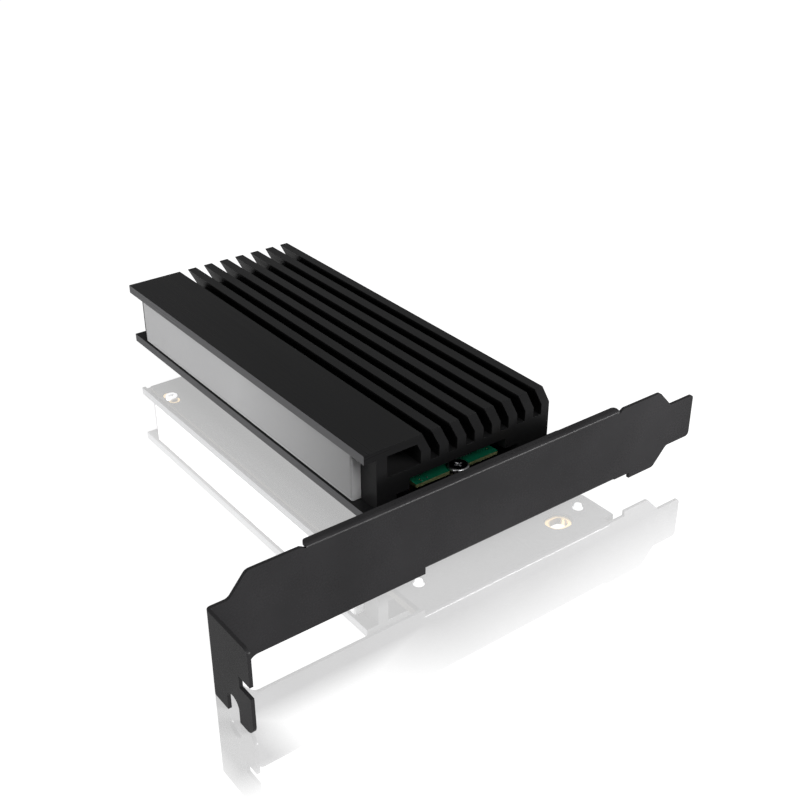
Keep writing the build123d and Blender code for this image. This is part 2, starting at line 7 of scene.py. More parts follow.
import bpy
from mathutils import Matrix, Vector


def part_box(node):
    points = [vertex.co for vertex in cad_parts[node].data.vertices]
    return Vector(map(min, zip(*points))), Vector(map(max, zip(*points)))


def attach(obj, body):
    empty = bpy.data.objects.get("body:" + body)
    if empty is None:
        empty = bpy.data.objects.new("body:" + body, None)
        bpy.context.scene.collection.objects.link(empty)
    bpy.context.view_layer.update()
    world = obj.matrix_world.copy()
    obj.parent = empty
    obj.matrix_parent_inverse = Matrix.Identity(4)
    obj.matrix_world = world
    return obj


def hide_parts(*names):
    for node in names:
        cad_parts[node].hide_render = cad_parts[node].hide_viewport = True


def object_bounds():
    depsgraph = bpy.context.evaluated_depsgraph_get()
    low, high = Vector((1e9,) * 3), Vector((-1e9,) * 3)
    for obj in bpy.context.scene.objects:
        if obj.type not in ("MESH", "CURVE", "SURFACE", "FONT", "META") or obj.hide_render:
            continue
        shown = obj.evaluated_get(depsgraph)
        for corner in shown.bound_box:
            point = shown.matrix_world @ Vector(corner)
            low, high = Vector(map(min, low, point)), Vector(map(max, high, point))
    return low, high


bl_info = {
    "name": "Drive adapter card",
    "version": (1, 0, 0),
    "blender": (4, 5, 0),
    "location": "View3D > Sidebar > Card",
    "description": "Builds the card's dressed pieces, their finishes and the studio round it",
    "category": "Object",
}

from math import cos, pi, radians, sin, tan

import bpy
from mathutils import Matrix, Vector

MM = 0.001
TOUCH = 1e-6  # places nearer than this are one place
CUT = 4 * MM  # length of the round tools that cut holes
PAN_X, PAN_Y = (-18.17 * MM, 26.43 * MM), 8.3 * MM  # the bracket's two screws
NOTCH_Y = -6.6 * MM  # middle of the tab's notch for the case screw
WINDOW_X, WINDOW_Y, WINDOW_HALF = (18.95 * MM, 19.85 * MM), 7.15 * MM, 2.85 * MM
SLIT = ((-23.125 * MM, 39.65 * MM), (-21.575 * MM, 94.65 * MM))  # over the row of lamps
FLAT_X, FLAT_Y = (-21.65 * MM, 21.65 * MM), (23.4 * MM, 108.4 * MM)  # the heatsink's screws
VIAS = ((8.3, 3.1), (9.6, 1.9), (-9.3, 1.2))  # mm from the middle of the drive's near end
TEST_PADS = ((3.0, 2.7), (3.8, 2.7), (4.6, 2.7), (5.4, 2.7), (-1.0, 2.9), (-0.3, 2.9),
             (-8.6, 2.4), (-7.7, 2.6), (-9.2, 0.75), (-7.6, 1.0))

WHITE = (1, 1, 1, 1)
EVEN = (1, 1, 1)  # a pattern that isn't stretched
MIX_FACTOR, MIX_A, MIX_B, MIX_COLOUR_A, MIX_COLOUR_B = 0, 2, 3, 6, 7  # a Mix node's inputs
MIXED, MIXED_COLOUR = 0, 2  # and its outputs
SKY = 0.25  # what black gloss mirrors of the sky above the horizon
AMBIENT = 0.75  # share of the sky that lights matt surfaces
FLOOR_WHITE, FLOOR_LIFT = 0.36, 0.61  # the floor's own white, and what the camera adds to it
GHOST = 0.56  # share of the floor's white that its mirror image takes over near the card
LAMPS = (  # name, place, aim, width, height, power in watts
    ("key_lamp", (-0.06, -0.62, 0.62), (0, 0.03, 0), 0.4, 0.4, 2.8),
    ("front_lamp", (0.22, -0.34, 0.16), (0, 0.02, 0), 0.26, 0.05, 2.2),
    ("left_lamp", (-0.95, 0.15, 0.22), (0, 0.06, 0), 0.8, 0.4, 4.0))
SENSOR, LENS, SHIFT = 36, 53.705, (-0.00546, -0.00216)
CAMERA_PLACE = (-0.13637, -0.14303, 0.13187)
CAMERA_FORWARD = (0.526228, 0.695029, -0.489918)
CAMERA_RIGHT = (0.797170, -0.603755, -0.000274)

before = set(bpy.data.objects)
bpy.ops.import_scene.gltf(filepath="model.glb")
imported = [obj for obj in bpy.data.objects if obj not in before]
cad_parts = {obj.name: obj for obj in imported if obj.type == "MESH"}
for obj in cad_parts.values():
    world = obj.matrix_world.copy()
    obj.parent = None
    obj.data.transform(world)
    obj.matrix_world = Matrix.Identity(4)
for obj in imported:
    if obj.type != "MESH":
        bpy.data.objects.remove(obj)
cad_low, cad_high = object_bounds()
board_low, board_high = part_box("circuit_board")
RIGHT, INWARD, UP = Vector((1, 0, 0)), Vector((0, 1, 0)), Vector((0, 0, 1))


def length(name, text, millimetres):
    """A length that a user may change."""
    return bpy.props.FloatProperty(name=name, description=text, default=millimetres * MM,
                                   unit="LENGTH", precision=5)


def colour(name, text, red, green, blue):
    """A colour that a user may change."""
    return bpy.props.FloatVectorProperty(name=name, description=text, subtype="COLOR", size=3,
                                         min=0, max=1, default=(red, green, blue))


class CARD_PG_bracket(bpy.types.PropertyGroup):
    sheet: length("Sheet", "Thickness of the bracket's sheet", 0.7)
    bend: length("Inner bend", "Inner radius of every bend", 0.3)
    edge_break: length("Edge break", "Rounding of the sheet's cut edges", 0.09)
    tab_depth: length("Tab depth", "How far the tab stands out", 13.0)
    tab_drop: length("Tab drop", "How far the tab sits below the strip", 4.35)
    tab_corner: length("Tab's upper corner", "Rounding of the tab's upper corner", 1.4)
    tab_foot_corner: length("Tab's lower corner", "Rounding of the tab's lower corner", 2.2)
    neck_start: length("Neck start", "From the tab's face to the neck", 4.3)
    neck_run: length("Neck run", "Length of the neck's slope", 3.7)
    neck_corner: length("Neck corner", "Rounding of the neck's upper corners", 1.4)
    neck_low_corner: length("Neck's lower corner", "Rounding under the neck", 2.0)
    strip_width: length("Strip width", "Width of the strip", 18.42)
    tongue_width: length("Tongue width", "Width of the tongue", 10.19)
    tongue_length: length("Tongue length", "Length of the tongue", 7.2)
    tongue_taper: length("Tongue taper", "Length of the slope down to the tongue", 3.8)
    tongue_corner: length("Tongue corner", "Rounding of the tongue's lower corners", 1.0)
    tongue_top_corner: length("Tongue's top corner", "Rounding of the tongue's upper corner", 0.7)
    taper_corner: length("Taper corner", "Rounding where the strip narrows", 1.2)
    notch_width: length("Screw notch width", "Width of the notch for the case screw", 4.0)
    notch_depth: length("Screw notch depth", "Depth of the notch for the case screw", 4.6)
    side_notch_depth: length("Side notch depth", "Depth of the notch in the tab's front edge", 3.6)


class CARD_PG_heatsink(bpy.types.PropertyGroup):
    edge_break: length("Edge break", "Rounding of the extrusion's edges", 0.12)
    fin_pitch: length("Fin pitch", "Distance from one fin to the next", 4.69)
    slot_width: length("Slot width", "Width of a gap between two fins", 2.3)
    fin_lean: length("Fin lean", "How far the fins' upper part leans over", 2.3)
    fin_count: bpy.props.IntProperty(name="Fins", description="Number of gaps between fins",
                                     default=7, min=1)


class CARD_PG_finish(bpy.types.PropertyGroup):
    coat: colour("Bracket coat", "Powder coat of the bracket", 0.022, 0.0215, 0.0225)
    anodised: colour("Anodising", "Black anodised aluminium", 0.013, 0.013, 0.0134)
    mask: colour("Solder mask", "Solder mask of the card's board", 0.004, 0.004, 0.0045)
    gold: colour("Gold", "Gold plating", 0.72, 0.51, 0.22)
    steel: colour("Steel", "Zinc-plated steel of the screws", 0.60, 0.60, 0.61)
    bar: colour("Light bar", "Frosted light bar", 0.60, 0.60, 0.605)
    green: colour("Drive board", "Solder mask of the drive", 0.005, 0.135, 0.070)
    pad: colour("Pads", "Thermal pads", 0.48, 0.48, 0.485)


def node(tree, kind, links=None, values=None, **settings):
    """A shader node with its settings, values and incoming links."""
    made = tree.nodes.new(kind)
    for key, value in settings.items():
        setattr(made, key, value)
    for key, value in (values or {}).items():
        made.inputs[key].default_value = value
    for key, source in (links or {}).items():
        tree.links.new(source, made.inputs[key])
    return made


def filled(tree, socket, value):
    """Link a socket to another, or write a plain value into it."""
    if isinstance(value, bpy.types.NodeSocket):
        tree.links.new(value, socket)
    else:
        socket.default_value = value


def place(tree, stretch=EVEN):
    """Object coordinates, stretched along an axis where a grain runs."""
    coordinates = node(tree, "ShaderNodeTexCoord").outputs["Object"]
    mapping = node(tree, "ShaderNodeMapping", {"Vector": coordinates}, {"Scale": stretch})
    return mapping.outputs["Vector"]


def parts(tree, vector):
    """The X, Y and Z of a vector."""
    return node(tree, "ShaderNodeSeparateXYZ", {"Vector": vector}).outputs


def facing(tree):
    """The X, Y and Z of the surface's normal."""
    return parts(tree, node(tree, "ShaderNodeNewGeometry").outputs["Normal"])


def noise(tree, scale, stretch=EVEN, detail=3.0):
    """Noise value from 0 to 1 on the piece's own coordinates."""
    values = {"Scale": scale, "Detail": detail}
    return node(tree, "ShaderNodeTexNoise", {"Vector": place(tree, stretch)}, values).outputs["Fac"]


def spread(tree, source, low, high, start=0.3, end=0.7):
    """The source's range from start to end, laid over low to high."""
    values = {"From Min": start, "From Max": end, "To Min": low, "To Max": high}
    return node(tree, "ShaderNodeMapRange", {"Value": source}, values).outputs["Result"]


def calc(tree, operation, *terms):
    """One sum on sockets or plain numbers."""
    made = node(tree, "ShaderNodeMath", operation=operation)
    for socket, term in zip(made.inputs, (*terms, 0.0, 0.0)):
        filled(tree, socket, term)
    return made.outputs[0]


def product(tree, first, second):
    """Two sockets or numbers multiplied."""
    return calc(tree, "MULTIPLY", first, second)


def blend_colours(tree, factor, first, second):
    """Two colours or sockets mixed by a factor."""
    made = node(tree, "ShaderNodeMix", {MIX_FACTOR: factor}, data_type="RGBA")
    for slot, value in ((MIX_COLOUR_A, first), (MIX_COLOUR_B, second)):
        if not isinstance(value, bpy.types.NodeSocket):
            value = (*value, 1)
        filled(tree, made.inputs[slot], value)
    return made.outputs[MIXED_COLOUR]


def relief(tree, shader, height, depth, strength):
    """Bump on a shader, the height's 0 to 1 being depth metres."""
    values = {"Distance": depth, "Strength": strength}
    bump = node(tree, "ShaderNodeBump", {"Height": height}, values)
    tree.links.new(bump.outputs["Normal"], shader.inputs["Normal"])


def outside(tree, axes, low, high):
    """Distance on the floor from the footprint of a box."""
    gaps = []
    for axis, a, b in (("X", low.x, high.x), ("Y", low.y, high.y)):
        from_middle = calc(tree, "ABSOLUTE", calc(tree, "SUBTRACT", axes[axis], (a + b) / 2))
        gaps.append(calc(tree, "MAXIMUM", calc(tree, "SUBTRACT", from_middle, (b - a) / 2), 0.0))
    squares = [product(tree, gap, gap) for gap in gaps]
    return calc(tree, "SQRT", calc(tree, "ADD", *squares))


def scaled(shade, factor):
    """A colour made darker or lighter."""
    return tuple(min(1.0, part * factor) for part in shade)


def new_finish(name, shade, roughness, metallic=0.0, specular=0.5):
    """Node tree and shader of a new material."""
    material = bpy.data.materials.new(name)
    material.use_nodes = True
    shader = material.node_tree.nodes["Principled BSDF"]
    shader.inputs["Base Color"].default_value = (*shade, 1)
    shader.inputs["Roughness"].default_value = roughness
    shader.inputs["Metallic"].default_value = metallic
    shader.inputs["Specular IOR Level"].default_value = specular
    material.diffuse_color = (*shade, 1)
    return material.node_tree, shader


def tinted(tree, shader, shade, scale, low=0.8, high=1.2, stretch=EVEN):
    """Slow change of tone over a surface."""
    factor = spread(tree, noise(tree, scale, stretch), 0, 1)
    source = blend_colours(tree, factor, scaled(shade, low), scaled(shade, high))
    tree.links.new(source, shader.inputs["Base Color"])
    return source


def powder_coat(shade):
    """Satin powder coat: fine orange peel over a slow change of gloss."""
    tree, shader = new_finish("powder_coat", shade, 0.27, 0, 0.08)
    tinted(tree, shader, shade, 40)
    slow = spread(tree, noise(tree, 60), 0.24, 0.30)
    fine = spread(tree, noise(tree, 2600), -0.02, 0.02)
    tree.links.new(calc(tree, "ADD", slow, fine), shader.inputs["Roughness"])
    coarse_peel = noise(tree, 1100, detail=2)
    fine_peel = product(tree, noise(tree, 5200, detail=2), 0.35)
    relief(tree, shader, calc(tree, "ADD", coarse_peel, fine_peel), 0.02 * MM, 0.5)


def anodising(shade):
    """Black anodised extrusion: die lines along its length, saw marks on its ends.

    The left-facing faces at the light bar's side carry a painted highlight, 9.5 times paler.
    """
    tree, shader = new_finish("black_anodising", shade, 0.32, 0, 0.12)
    body = tinted(tree, shader, shade, 30, 0.85, 1.2, (1, 0.15, 1))
    normal = facing(tree)
    on_end = calc(tree, "GREATER_THAN", calc(tree, "ABSOLUTE", normal["Y"]), 0.7)
    # Painted highlight: left-facing faces at the heatsink's left edge, by the light bar, are made
    # 9.5 times paler.
    edge_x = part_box("heatsink")[0].x + 0.3 * MM
    at_edge = calc(tree, "LESS_THAN", parts(tree, place(tree))["X"], edge_x)
    painted_left_highlight = product(tree, at_edge, calc(tree, "LESS_THAN", normal["X"], -0.7))
    toned = blend_colours(tree, painted_left_highlight, body, scaled(shade, 9.5))
    tree.links.new(toned, shader.inputs["Base Color"])
    die_lines = noise(tree, 2400, (1, 0.012, 1), 4)
    saw_marks = noise(tree, 1500, (0.06, 1, 1.2), 4)
    links = {MIX_FACTOR: on_end, MIX_A: die_lines, MIX_B: saw_marks}
    grain = node(tree, "ShaderNodeMix", links).outputs[MIXED]
    fine, slow = spread(tree, grain, -0.05, 0.05), spread(tree, noise(tree, 45), 0.28, 0.36)
    tree.links.new(calc(tree, "ADD", fine, slow), shader.inputs["Roughness"])
    relief(tree, shader, grain, 0.007 * MM, 0.5)


def board_relief(tree):
    """Copper tracks and plated holes under the mask, as a height from 0 to 1."""
    run, sidestep, pitch = 17 * MM, 1.6 * MM, 0.6 * MM
    axes = parts(tree, place(tree))
    sway = calc(tree, "PINGPONG", calc(tree, "ADD", axes["Y"], 4 * MM), run)
    jog = calc(tree, "MINIMUM", calc(tree, "SUBTRACT", sway, run / 2), sidestep)
    jog = calc(tree, "MAXIMUM", jog, -sidestep)
    track = calc(tree, "DIVIDE", calc(tree, "ADD", axes["X"], jog), pitch)
    number = calc(tree, "FLOOR", track)
    across = calc(tree, "ABSOLUTE", calc(tree, "SUBTRACT", calc(tree, "FRACT", track), 0.5))
    line = calc(tree, "LESS_THAN", across, 0.2)
    chance = node(tree, "ShaderNodeTexWhiteNoise", {"W": number}, noise_dimensions="1D")
    line = product(tree, line, calc(tree, "GREATER_THAN", chance.outputs["Value"], 0.42))
    field = calc(tree, "GREATER_THAN", noise(tree, 70, (1, 0.6, 1), 1), 0.5)
    tracks = product(tree, line, field)
    flat_place = place(tree, (1, 1, 0))
    cells = node(tree, "ShaderNodeTexVoronoi", {"Vector": flat_place}, {"Scale": 210.0})
    hole = calc(tree, "LESS_THAN", cells.outputs["Distance"], 0.09)
    rim = calc(tree, "LESS_THAN", cells.outputs["Distance"], 0.16)
    return calc(tree, "SUBTRACT", calc(tree, "MAXIMUM", tracks, rim), product(tree, hole, 1.2))


def solder_mask(name, shade, edge, gloss):
    """Glossy solder mask over tracks, and the sawn glass-fibre edge."""
    tree, shader = new_finish(name, shade, gloss, 0, 0.05)
    on_face = calc(tree, "GREATER_THAN", calc(tree, "ABSOLUTE", facing(tree)["Z"]), 0.6)
    height = board_relief(tree)
    face = blend_colours(tree, height, shade, scaled(shade, 1.9))
    plies = spread(tree, noise(tree, 500, (0.25, 0.25, 9)), 0, 1)
    cut = blend_colours(tree, plies, scaled(edge, 0.6), scaled(edge, 1.4))
    tree.links.new(blend_colours(tree, on_face, cut, face), shader.inputs["Base Color"])
    smooth = spread(tree, noise(tree, 90), gloss - 0.05, gloss + 0.06)
    rough = node(tree, "ShaderNodeMix", {MIX_FACTOR: on_face, MIX_B: smooth}, {MIX_A: 0.75})
    tree.links.new(rough.outputs[MIXED], shader.inputs["Roughness"])
    weave = product(tree, noise(tree, 1800), 0.25)
    relief(tree, shader, calc(tree, "ADD", height, weave), 0.03 * MM, 0.7)


def plating(name, shade, roughness, grain=1500):
    """Plated metal with a fine uneven grain."""
    tree, shader = new_finish(name, shade, roughness, 1.0)
    tinted(tree, shader, shade, 350, 0.82, 1.1)
    gloss = spread(tree, noise(tree, grain), roughness - 0.06, roughness + 0.1)
    tree.links.new(gloss, shader.inputs["Roughness"])
    relief(tree, shader, noise(tree, grain * 2), 0.008 * MM, 0.6)
    return tree, shader


def frosted(shade):
    """Frosted bar: painted shade towards its near end, painted light at its foot and both ends."""
    tree, shader = new_finish("frosted_acrylic", shade, 0.4, 0, 0.3)
    low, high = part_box("light_bar")
    axes = parts(tree, place(tree))
    # Painted shade: the bar's tone falls to half towards its near end, under a faint random cloud.
    along = spread(tree, axes["Y"], 0.5, 1.0, low.y, low.y + 45 * MM)
    cloud_and_painted_shade = product(tree, along, spread(tree, noise(tree, 26, detail=2), 0.97, 1.03))
    # Painted highlight: a paler band along the foot, with a thin darker line just above it.
    foot = spread(tree, axes["Z"], 1.2, 1.0, low.z + 0.8 * MM, low.z + 0.9 * MM)
    line = calc(tree, "COMPARE", axes["Z"], low.z + 1.05 * MM, 0.12 * MM)
    # Painted light: a paler band near the far end.
    painted_far_end_light = spread(tree, axes["Y"], 1.0, 1.14, high.y - 4.2 * MM, high.y - 3.9 * MM)
    # Painted light: faces turned to the near end are made up to 2.4 times paler.
    painted_near_face_light = spread(tree, facing(tree)["Y"], 2.4, 1.0, -0.98, -0.88)
    # The painted highlights of the foot, the far end and the near face, taken together.
    rim = product(tree, calc(tree, "MAXIMUM", foot, painted_far_end_light), painted_near_face_light)
    # The bar's colour carries this painted light and shade.
    tone = product(tree, cloud_and_painted_shade, calc(tree, "SUBTRACT", rim, product(tree, line, 0.1)))
    tree.links.new(blend_colours(tree, tone, (0, 0, 0), shade), shader.inputs["Base Color"])
    shader.inputs["Subsurface Weight"].default_value = 0.15
    shader.inputs["Subsurface Radius"].default_value = (1, 1, 1)
    shader.inputs["Subsurface Scale"].default_value = MM
    tree.links.new(spread(tree, noise(tree, 900), 0.36, 0.46), shader.inputs["Roughness"])
    relief(tree, shader, noise(tree, 3500), 0.012 * MM, 0.5)


def blackened_head(shade):
    """Steel screw whose flat head is blackened on top and bare round its rim."""
    tree, shader = plating("blackened_head", shade, 0.3)
    low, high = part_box("drive_screw")
    axes = parts(tree, place(tree))
    across = calc(tree, "SUBTRACT", axes["X"], (low.x + high.x) / 2)
    along = calc(tree, "SUBTRACT", axes["Y"], (low.y + high.y) / 2)
    squares = calc(tree, "ADD", product(tree, across, across), product(tree, along, along))
    in_rim = calc(tree, "LESS_THAN", calc(tree, "SQRT", squares), 1.95 * MM)
    on_top = product(tree, calc(tree, "GREATER_THAN", axes["Z"], high.z - 0.05 * MM), in_rim)
    steel = shader.inputs["Base Color"].links[0].from_socket
    toned = blend_colours(tree, on_top, steel, (0.02, 0.02, 0.021))
    tree.links.new(toned, shader.inputs["Base Color"])


def matt(name, shade, roughness, grain, depth=0.02 * MM, specular=0.4):
    """Moulded or cast finish with a fine grain."""
    tree, shader = new_finish(name, shade, roughness, 0, specular)
    tinted(tree, shader, shade, 120, 0.85, 1.15)
    gloss = spread(tree, noise(tree, grain), roughness - 0.07, roughness + 0.07)
    tree.links.new(gloss, shader.inputs["Roughness"])
    relief(tree, shader, noise(tree, grain * 1.6), depth, 0.7)


def finishes():
    """Every finish by its name, made once."""
    wanted = bpy.context.scene.card_finish
    if "powder_coat" not in bpy.data.materials:
        powder_coat(wanted.coat)
        anodising(wanted.anodised)
        solder_mask("black_mask", wanted.mask, (0.03, 0.027, 0.022), 0.24)
        solder_mask("green_mask", wanted.green, (0.16, 0.17, 0.08), 0.3)
        plating("hard_gold", wanted.gold, 0.3)
        plating("zinc_steel", wanted.steel, 0.28)
        blackened_head(wanted.steel)
        plating("nickel_plate", (0.62, 0.58, 0.48), 0.3)
        plating("tin", (0.66, 0.66, 0.65), 0.32)
        frosted(wanted.bar)
        matt("moulding", (0.012, 0.012, 0.0125), 0.5, 1400)
        matt("package", (0.006, 0.006, 0.0065), 0.55, 2200, specular=0.1)
        matt("ceramic", (0.16, 0.13, 0.10), 0.5, 1800)
        matt("silicone", wanted.pad, 0.85, 1600, 0.04 * MM, 0.25)
        matt("lamp_resin", (0.85, 0.84, 0.72), 0.3, 1200)
    return bpy.data.materials


def dressed(piece, finish):
    """Give a piece its finish alone."""
    piece.data.materials.clear()
    piece.data.materials.append(finishes()[finish])


def settle(piece, finish, slot, *nodes):
    """Finish a piece, hide the nodes that it stands for, and let it ride; the slot is not used."""
    dressed(piece, finish)
    if nodes:
        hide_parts(*nodes)
    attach(piece, "root")
    return piece


def only(*pieces):
    """Select these pieces alone, the last one active."""
    bpy.ops.object.select_all(action="DESELECT")
    for piece in pieces:
        piece.select_set(True)
    bpy.context.view_layer.objects.active = pieces[-1]


def baked_place(piece):
    """Move a piece's place into its mesh."""
    only(piece)
    bpy.ops.object.transform_apply(location=True, rotation=True, scale=True)
    return piece


def box_piece(name, low, high):
    """Cube shaped to two corners."""
    bpy.ops.object.select_all(action="DESELECT")
    middle = [(a + b) / 2 for a, b in zip(low, high)]
    size = [b - a for a, b in zip(low, high)]
    bpy.ops.mesh.primitive_cube_add(size=1, location=middle, scale=size)
    piece = bpy.context.object
    piece.name = name
    return baked_place(piece)


def round_piece(name, centre, radius, sides=40, turn=(0, 0, 0)):
    """Cylinder round a point, long enough to cut a hole."""
    bpy.ops.object.select_all(action="DESELECT")
    bpy.ops.mesh.primitive_cylinder_add(vertices=sides, radius=radius, depth=CUT, location=centre,
                                        rotation=turn)
    piece = bpy.context.object
    piece.name = name
    return baked_place(piece)


def pick(piece, wanted):
    """Select the vertices that a test accepts, in edit mode."""
    bpy.ops.object.mode_set(mode="OBJECT")
    for part in (piece.data.polygons, piece.data.edges, piece.data.vertices):
        for item in part:
            item.select = False
    for vertex in piece.data.vertices:
        vertex.select = wanted(vertex.co)
    bpy.ops.object.mode_set(mode="EDIT")


def near(first, second, gap=TOUCH):
    """Whether two points are the same."""
    return (Vector(first) - Vector(second)).length < gap


def drawn(name, places):
    """Line of vertices drawn from the first place to the last, left in edit mode."""
    bpy.ops.object.select_all(action="DESELECT")
    bpy.ops.mesh.primitive_plane_add(size=MM)
    piece = bpy.context.object
    piece.name = name
    bpy.ops.object.mode_set(mode="EDIT")
    bpy.ops.mesh.select_mode(type="VERT")
    bpy.ops.mesh.select_all(action="SELECT")
    bpy.ops.mesh.merge(type="CENTER")
    bpy.ops.transform.translate(value=places[0])
    for start, end in zip(places, places[1:]):
        bpy.ops.mesh.extrude_region_move(TRANSFORM_OT_translate={"value": end - start})
    bpy.ops.mesh.select_all(action="SELECT")
    return piece


def traced(name, origin, across, upward, corners, run):
    """Outline drawn from an origin along two axes, filled and extruded by a run.

    A corner that lists a third number is rounded to that radius.
    """
    places = [Vector(origin) + across * corner[0] + upward * corner[1] for corner in corners]
    piece = drawn(name, places)
    bpy.ops.mesh.edge_face_add()
    for n, corner in enumerate(corners):
        if len(corner) < 3:
            continue
        before = places[n - 1] - places[n]
        after = places[(n + 1) % len(places)] - places[n]
        reach = corner[2] / tan(before.angle(after) / 2)
        pick(piece, lambda p: near(p, places[n]))
        bpy.ops.mesh.bevel(offset=reach, segments=8, affect="VERTICES")
    bpy.ops.mesh.select_all(action="SELECT")
    bpy.ops.mesh.extrude_region_move(TRANSFORM_OT_translate={"value": run})
    bpy.ops.mesh.select_all(action="SELECT")
    bpy.ops.mesh.normals_make_consistent(inside=False)
    bpy.ops.object.mode_set(mode="OBJECT")
    return piece


def turned(name, centre, corners, steps=48):
    """Half section of radii and heights, drawn from axis to axis and spun round it."""
    places = [Vector(centre) + RIGHT * radius + UP * height for radius, height in corners]
    piece = drawn(name, places)
    bpy.ops.mesh.spin(steps=steps, angle=2 * pi, center=centre, axis=UP)
    bpy.ops.mesh.select_all(action="SELECT")
    bpy.ops.mesh.remove_doubles(threshold=TOUCH)
    bpy.ops.mesh.normals_make_consistent(inside=False)
    bpy.ops.object.mode_set(mode="OBJECT")
    return piece


def applied(piece, kind, **settings):
    """Add a modifier, set it and apply it."""
    only(piece)
    modifier = piece.modifiers.new(kind.lower(), kind)
    for key, value in settings.items():
        setattr(modifier, key, value)
    bpy.ops.object.modifier_apply(modifier=modifier.name)
    return piece


def combined(piece, tools, operation):
    """Join tools to a piece or cut them from it, and remove them."""
    for tool in tools:
        applied(piece, "BOOLEAN", operation=operation, object=tool, solver="EXACT")
        bpy.data.objects.remove(tool)
    return piece


def tidied(piece):
    """Merge what lies together and drop edges that bend nothing."""
    only(piece)
    bpy.ops.object.mode_set(mode="EDIT")
    bpy.ops.mesh.select_all(action="SELECT")
    bpy.ops.mesh.remove_doubles(threshold=2 * TOUCH)
    bpy.ops.mesh.dissolve_limited(angle_limit=radians(1))
    bpy.ops.mesh.normals_make_consistent(inside=False)
    bpy.ops.object.mode_set(mode="OBJECT")
    return piece


def rounded(piece, wanted, radius, segments):
    """Round the edges whose vertices a test accepts."""
    pick(piece, wanted)
    bpy.ops.mesh.bevel(offset=radius, segments=segments, affect="EDGES")
    bpy.ops.object.mode_set(mode="OBJECT")


def softened(piece, width, segments=2, angle=35):
    """Break the sharp edges, shade the rest smooth and keep the flats flat."""
    applied(piece, "BEVEL", width=width, segments=segments, limit_method="ANGLE",
            angle_limit=radians(angle), use_clamp_overlap=True, harden_normals=False)
    only(piece)
    bpy.ops.object.shade_smooth_by_angle(angle=radians(angle))
    return applied(piece, "WEIGHTED_NORMAL", mode="FACE_AREA", weight=100, keep_sharp=True)


def bent(name, origin, across, upward, first, second, run):
    """Bent sheet with its outer corner at the origin and its legs along two axes."""
    s = bpy.context.scene.card_bracket
    corners = [(0, 0, s.bend + s.sheet), (first, 0), (first, s.sheet), (s.sheet, s.sheet, s.bend),
               (s.sheet, second), (0, second)]
    return traced(name, origin, across, upward, corners, run)


def joined(name, pieces):
    """Several pieces as one."""
    only(*pieces)
    bpy.ops.object.join()
    piece = bpy.context.object
    piece.name = name
    return piece


def copied(piece, step):
    """Copy with its own mesh, moved by a step."""
    only(piece)
    bpy.ops.object.duplicate(linked=False)
    twin = bpy.context.object
    twin.location = step
    return baked_place(twin)


def from_node(name, source, width):
    """Copy of a solid's mesh with its doubles merged and its edges broken."""
    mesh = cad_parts[source].data.copy()
    piece = bpy.data.objects.new(name, mesh)
    bpy.context.scene.collection.objects.link(piece)
    tidied(piece)
    return softened(piece, width)


def settle_copies(table):
    """Copy solids by a table of name, node, finish, slot and edge break in millimetres."""
    for name, source, finish, slot, width in table:
        settle(from_node(name, source, width * MM), finish, slot, source)


def thread(high, low, radius, depth, pitch):
    """Saw-tooth of radii and heights down a shank."""
    teeth = []
    for n in range(int((high - low) / pitch)):
        teeth += [(radius - depth, high - (n + 0.15) * pitch), (radius, high - (n + 0.5) * pitch),
                  (radius - depth, high - (n + 0.85) * pitch)]
    return teeth


def recess(centre, span, arm, depth, up=1):
    """Tapered cross that narrows into the head."""
    arms = []
    for x, y in ((span, arm), (arm, span)):
        tool = box_piece("arm", [centre[0] - x / 2, centre[1] - y / 2, centre[2] - depth],
                         [centre[0] + x / 2, centre[1] + y / 2, centre[2] + depth])
        pick(tool, lambda p: (p.z - centre[2]) * up < 0)
        bpy.ops.transform.resize(value=(0.72, 0.72, 1))
        bpy.ops.object.mode_set(mode="OBJECT")
        arms.append(tool)
    return combined(arms[0], arms[1:], "UNION")


def floor_finish():
    """White floor that keeps the card's shadow and, close to the card, its mirror image."""
    material = bpy.data.materials.new("pale_floor")
    material.use_nodes = True
    tree = material.node_tree
    tree.nodes.clear()
    path = node(tree, "ShaderNodeLightPath").outputs
    bare = calc(tree, "MAXIMUM", path["Is Glossy Ray"], path["Is Transmission Ray"])
    seen = calc(tree, "MAXIMUM", path["Is Camera Ray"], bare)
    axes = parts(tree, place(tree))
    low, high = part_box("bracket")
    bend, tab_low = Vector((low.x, 0, 0)), low - Vector((5, 5, 0)) * MM
    by_board = spread(tree, outside(tree, axes, board_low, board_high), 1, 0, 10 * MM, 30 * MM)
    by_strip = spread(tree, outside(tree, axes, bend, high), 1, 0, 7.5 * MM, 14.5 * MM)
    by_tab = spread(tree, outside(tree, axes, tab_low, bend), 1, 0, 0, 8 * MM)
    clear = calc(tree, "MAXIMUM", calc(tree, "MAXIMUM", by_board, by_strip), by_tab)
    clear = product(tree, clear, path["Is Camera Ray"])
    lift = calc(tree, "ADD", product(tree, path["Is Camera Ray"], FLOOR_LIFT), FLOOR_WHITE)
    lift = calc(tree, "SUBTRACT", lift, product(tree, clear, GHOST))
    mirrored = product(tree, clear, GHOST / SKY)
    paint = node(tree, "ShaderNodeBsdfDiffuse", values={"Color": (0.9, 0.9, 0.9, 1)})
    shaded = node(tree, "ShaderNodeBsdfDiffuse", values={"Color": (0.2, 0.2, 0.2, 1)})
    white = node(tree, "ShaderNodeEmission", {"Strength": lift}, {"Color": WHITE})
    polish = node(tree, "ShaderNodeBsdfGlossy", {"Color": mirrored}, {"Roughness": 0.03})
    bright = node(tree, "ShaderNodeAddShader", {0: shaded.outputs[0], 1: white.outputs[0]})
    bright = node(tree, "ShaderNodeAddShader", {0: bright.outputs[0], 1: polish.outputs[0]})
    shaders = {0: seen, 1: paint.outputs[0], 2: bright.outputs[0]}
    look = node(tree, "ShaderNodeMixShader", shaders)
    node(tree, "ShaderNodeOutputMaterial", {"Surface": look.outputs[0]})
    return material


